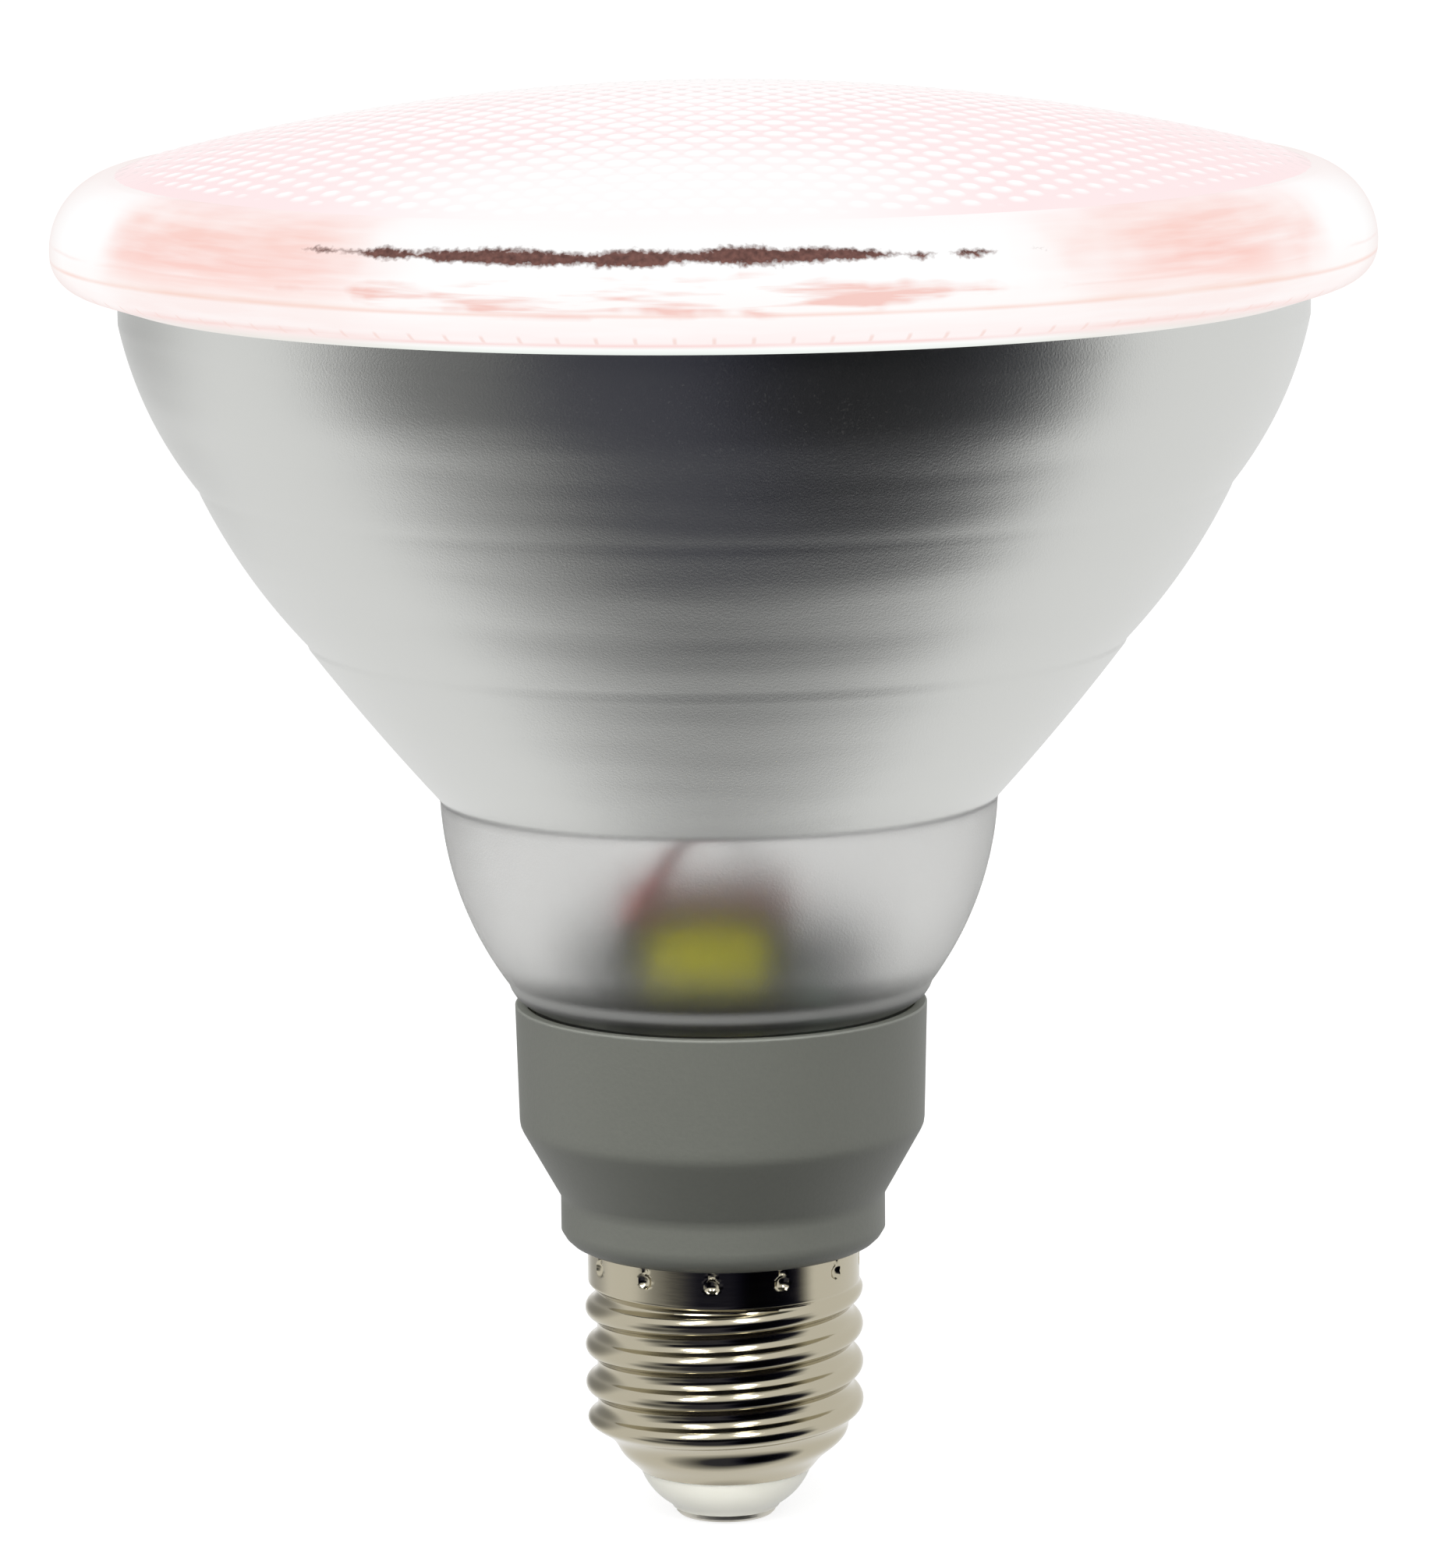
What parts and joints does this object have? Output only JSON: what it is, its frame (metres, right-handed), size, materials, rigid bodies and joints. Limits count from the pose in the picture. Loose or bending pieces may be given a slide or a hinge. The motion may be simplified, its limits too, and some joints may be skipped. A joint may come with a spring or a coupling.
{
  "type": "par spotlight bulb",
  "caption": "Reflector spotlight bulb with a domed pressed-glass lens, a stepped frosted glass funnel body, a grey collar and an Edison screw cap.",
  "frame": {"origin": "centre of the face of the centre contact, at the tip of the screw cap", "axes": "+Z along the lamp's axis from the cap to the lens, -Y towards the side that the picture shows, +X to its right"},
  "size_m": [0.122, 0.122, 0.1349],
  "materials": {
    "lens_glass": "pressed glass with small convex lenslets and a smooth rim",
    "frosted_glass": "frosted outside, silvered inside above the shoulder",
    "collar_plastic": "grey moulded plastic with a light grain",
    "nickel_plate": "bright nickel plate on rolled sheet",
    "cap_ceramic": "white, slightly glossy",
    "contact_metal": "tinned brass",
    "adhesive": "cured silicone",
    "spreader_aluminium": "turned aluminium",
    "board_white": "white solder mask",
    "board_green": "green solder mask",
    "emitter_phosphor": "phosphor under clear silicone",
    "zinc_screw": "zinc plate",
    "solder": "bright solder",
    "ferrite": "dark sintered ferrite",
    "bobbin_plastic": "black moulded plastic",
    "yellow_tape": "yellow polyester tape",
    "capacitor_sleeve": "dark shrink sleeve",
    "moulded_black": "black moulding compound",
    "film_box": "red-brown dipped box",
    "fuse_ceramic": "grey-green lacquer",
    "red_insulation": "red silicone insulation",
    "black_insulation": "black silicone insulation",
    "white_insulation": "white silicone insulation"
  },
  "bodies": {
    "root": {"lens": "lens_glass", "body_shell": "frosted_glass", "collar": "collar_plastic", "screw_shell": "nickel_plate", "cap_insulator": "cap_ceramic", "centre_contact": "contact_metal", "lens_seal": "adhesive", "collar_cement": "adhesive", "heat_spreader": "spreader_aluminium", "led_board": "board_white", "led_emitters": "emitter_phosphor", "board_screws": "zinc_screw", "led_solder_joints": "solder", "driver_board": "board_green", "transformer_core": "ferrite", "transformer_bobbin": "bobbin_plastic", "transformer_winding": "yellow_tape", "input_capacitor": "capacitor_sleeve", "output_capacitor": "capacitor_sleeve", "film_capacitor": "film_box", "filter_choke": "ferrite", "fuse_resistor": "fuse_ceramic", "rectifier": "moulded_black", "controller_chip": "moulded_black", "switch_transistor": "moulded_black", "led_wire_red": "red_insulation", "led_wire_black": "black_insulation", "live_wire": "white_insulation", "neutral_wire": "white_insulation"}
  },
  "joints": []
}
